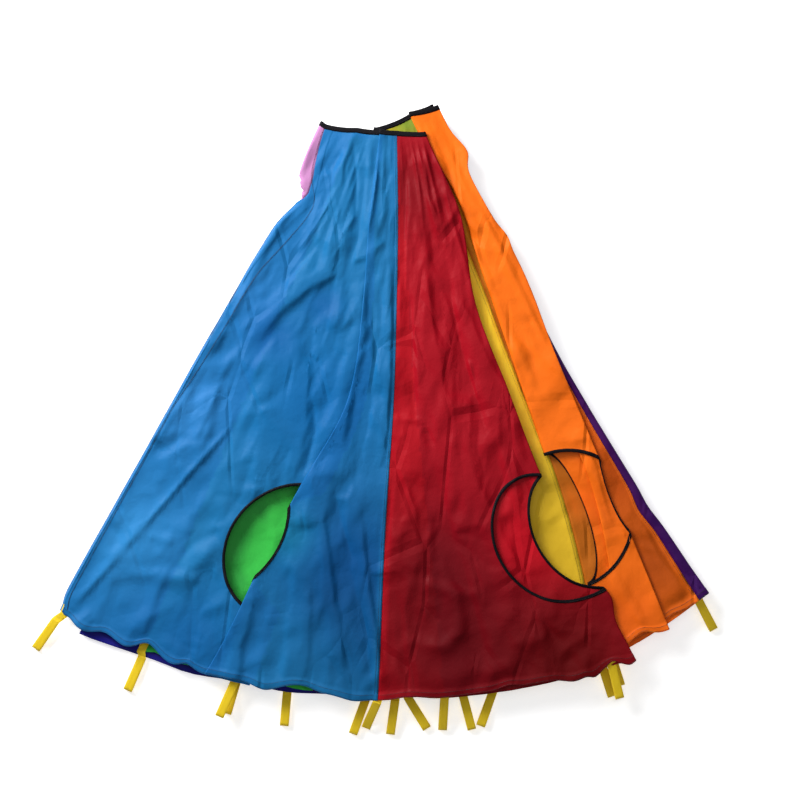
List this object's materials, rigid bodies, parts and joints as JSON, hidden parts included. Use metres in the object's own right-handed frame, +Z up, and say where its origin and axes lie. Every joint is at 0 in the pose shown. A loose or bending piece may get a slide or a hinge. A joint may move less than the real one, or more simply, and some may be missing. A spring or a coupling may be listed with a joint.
{
  "type": "play parachute",
  "caption": "Round play parachute of coloured cloth gores, folded like a fan and laid flat, with a bound hole in the middle and in each gore and webbing loops along the hem.",
  "frame": {"origin": "middle of the folded parachute's footprint, on the floor", "axes": "+Z up, -Y towards the hem with the handles, +X to the right"},
  "size_m": [1.5732, 1.444, 0.0582],
  "materials": {
    "light_blue_cloth": "thin plain-woven polyester with a soft gloss",
    "red_cloth": "thin plain-woven polyester with a soft gloss",
    "yellow_cloth": "thin plain-woven polyester with a soft gloss",
    "orange_cloth": "thin plain-woven polyester with a soft gloss",
    "purple_cloth": "thin plain-woven polyester with a soft gloss",
    "green_cloth": "thin plain-woven polyester with a soft gloss",
    "dark_blue_cloth": "thin plain-woven polyester with a soft gloss",
    "pink_cloth": "thin plain-woven polyester with a soft gloss",
    "binding": "matt woven tape",
    "webbing": "woven webbing"
  },
  "bodies": {
    "canopy": {"light_blue_panel": "light_blue_cloth", "light_blue_hole_binding": "binding", "red_panel": "red_cloth", "red_hole_binding": "binding", "yellow_panel": "yellow_cloth", "yellow_hole_binding": "binding", "orange_panel": "orange_cloth", "orange_hole_binding": "binding", "purple_panel": "purple_cloth", "purple_hole_binding": "binding", "green_panel": "green_cloth", "green_hole_binding": "binding", "dark_blue_panel": "dark_blue_cloth", "dark_blue_hole_binding": "binding", "pink_panel": "pink_cloth", "pink_hole_binding": "binding", "middle_hole_binding": "binding"},
    "handle_01": {"handle_01": "webbing"},
    "handle_02": {"handle_02": "webbing"},
    "handle_03": {"handle_03": "webbing"},
    "handle_04": {"handle_04": "webbing"},
    "handle_05": {"handle_05": "webbing"},
    "handle_06": {"handle_06": "webbing"},
    "handle_07": {"handle_07": "webbing"},
    "handle_08": {"handle_08": "webbing"},
    "handle_09": {"handle_09": "webbing"},
    "handle_10": {"handle_10": "webbing"},
    "handle_11": {"handle_11": "webbing"},
    "handle_12": {"handle_12": "webbing"},
    "handle_13": {"handle_13": "webbing"},
    "handle_14": {"handle_14": "webbing"},
    "handle_15": {"handle_15": "webbing"},
    "handle_16": {"handle_16": "webbing"}
  },
  "joints": [
    {"name": "handle_01_lift", "type": "hinge", "parent": "canopy", "child": "handle_01", "pos_m": [-0.73013, -0.45651, 0.0216], "axis": [-0.8108, 0.5854, 0], "range_deg": [0, 85]},
    {"name": "handle_02_lift", "type": "hinge", "parent": "canopy", "child": "handle_02", "pos_m": [-0.32039, -0.59743, 0.0396], "axis": [-0.914, 0.4057, 0], "range_deg": [0, 95]},
    {"name": "handle_03_lift", "type": "hinge", "parent": "canopy", "child": "handle_03", "pos_m": [0.0051, -0.63983, 0.0516], "axis": [-0.9286, 0.3711, 0], "range_deg": [0, 110]},
    {"name": "handle_04_lift", "type": "hinge", "parent": "canopy", "child": "handle_04", "pos_m": [0.53781, -0.55246, 0.05612], "axis": [-0.9679, -0.2513, 0], "range_deg": [0, 110]},
    {"name": "handle_05_lift", "type": "hinge", "parent": "canopy", "child": "handle_05", "pos_m": [0.1589, -0.63354, 0.0416], "axis": [-0.9988, 0.048, 0], "range_deg": [0, 110]},
    {"name": "handle_06_lift", "type": "hinge", "parent": "canopy", "child": "handle_06", "pos_m": [0.0465, -0.63837, 0.0266], "axis": [-0.9907, 0.1357, 0], "range_deg": [0, 90]},
    {"name": "handle_07_lift", "type": "hinge", "parent": "canopy", "child": "handle_07", "pos_m": [0.51854, -0.55522, 0.0266], "axis": [-0.9479, -0.3185, 0], "range_deg": [0, 10]},
    {"name": "handle_08_lift", "type": "hinge", "parent": "canopy", "child": "handle_08", "pos_m": [0.53981, -0.53449, 0.0391], "axis": [-0.9478, -0.3188, 0], "range_deg": [0, 10]},
    {"name": "handle_09_lift", "type": "hinge", "parent": "canopy", "child": "handle_09", "pos_m": [0.73938, -0.41119, 0.0366], "axis": [-0.8711, -0.491, 0], "range_deg": [0, 105]},
    {"name": "handle_10_lift", "type": "hinge", "parent": "canopy", "child": "handle_10", "pos_m": [0.20191, -0.62833, 0.0216], "axis": [-0.9678, -0.2516, 0], "range_deg": [0, 90]},
    {"name": "handle_11_lift", "type": "hinge", "parent": "canopy", "child": "handle_11", "pos_m": [0.07665, -0.63488, 0.0166], "axis": [-0.8554, -0.518, 0], "range_deg": [0, 75]},
    {"name": "handle_12_lift", "type": "hinge", "parent": "canopy", "child": "handle_12", "pos_m": [-0.02139, -0.63982, 0.0116], "axis": [-0.9379, 0.3469, 0], "range_deg": [0, 80]},
    {"name": "handle_13_lift", "type": "hinge", "parent": "canopy", "child": "handle_13", "pos_m": [-0.53376, -0.54207, 0.0116], "axis": [-0.915, 0.4035, 0], "range_deg": [0, 95]},
    {"name": "handle_14_lift", "type": "hinge", "parent": "canopy", "child": "handle_14", "pos_m": [-0.20062, -0.61623, 0.0066], "axis": [-0.996, 0.0889, 0], "range_deg": [0, 80]},
    {"name": "handle_15_lift", "type": "hinge", "parent": "canopy", "child": "handle_15", "pos_m": [0.27134, -0.62184, 0.0016], "axis": [-0.9379, 0.3469, 0], "range_deg": [0, 75]},
    {"name": "handle_16_lift", "type": "hinge", "parent": "canopy", "child": "handle_16", "pos_m": [-0.31582, -0.59191, 0.0016], "axis": [-0.9588, 0.284, 0], "range_deg": [0, 10]}
  ]
}
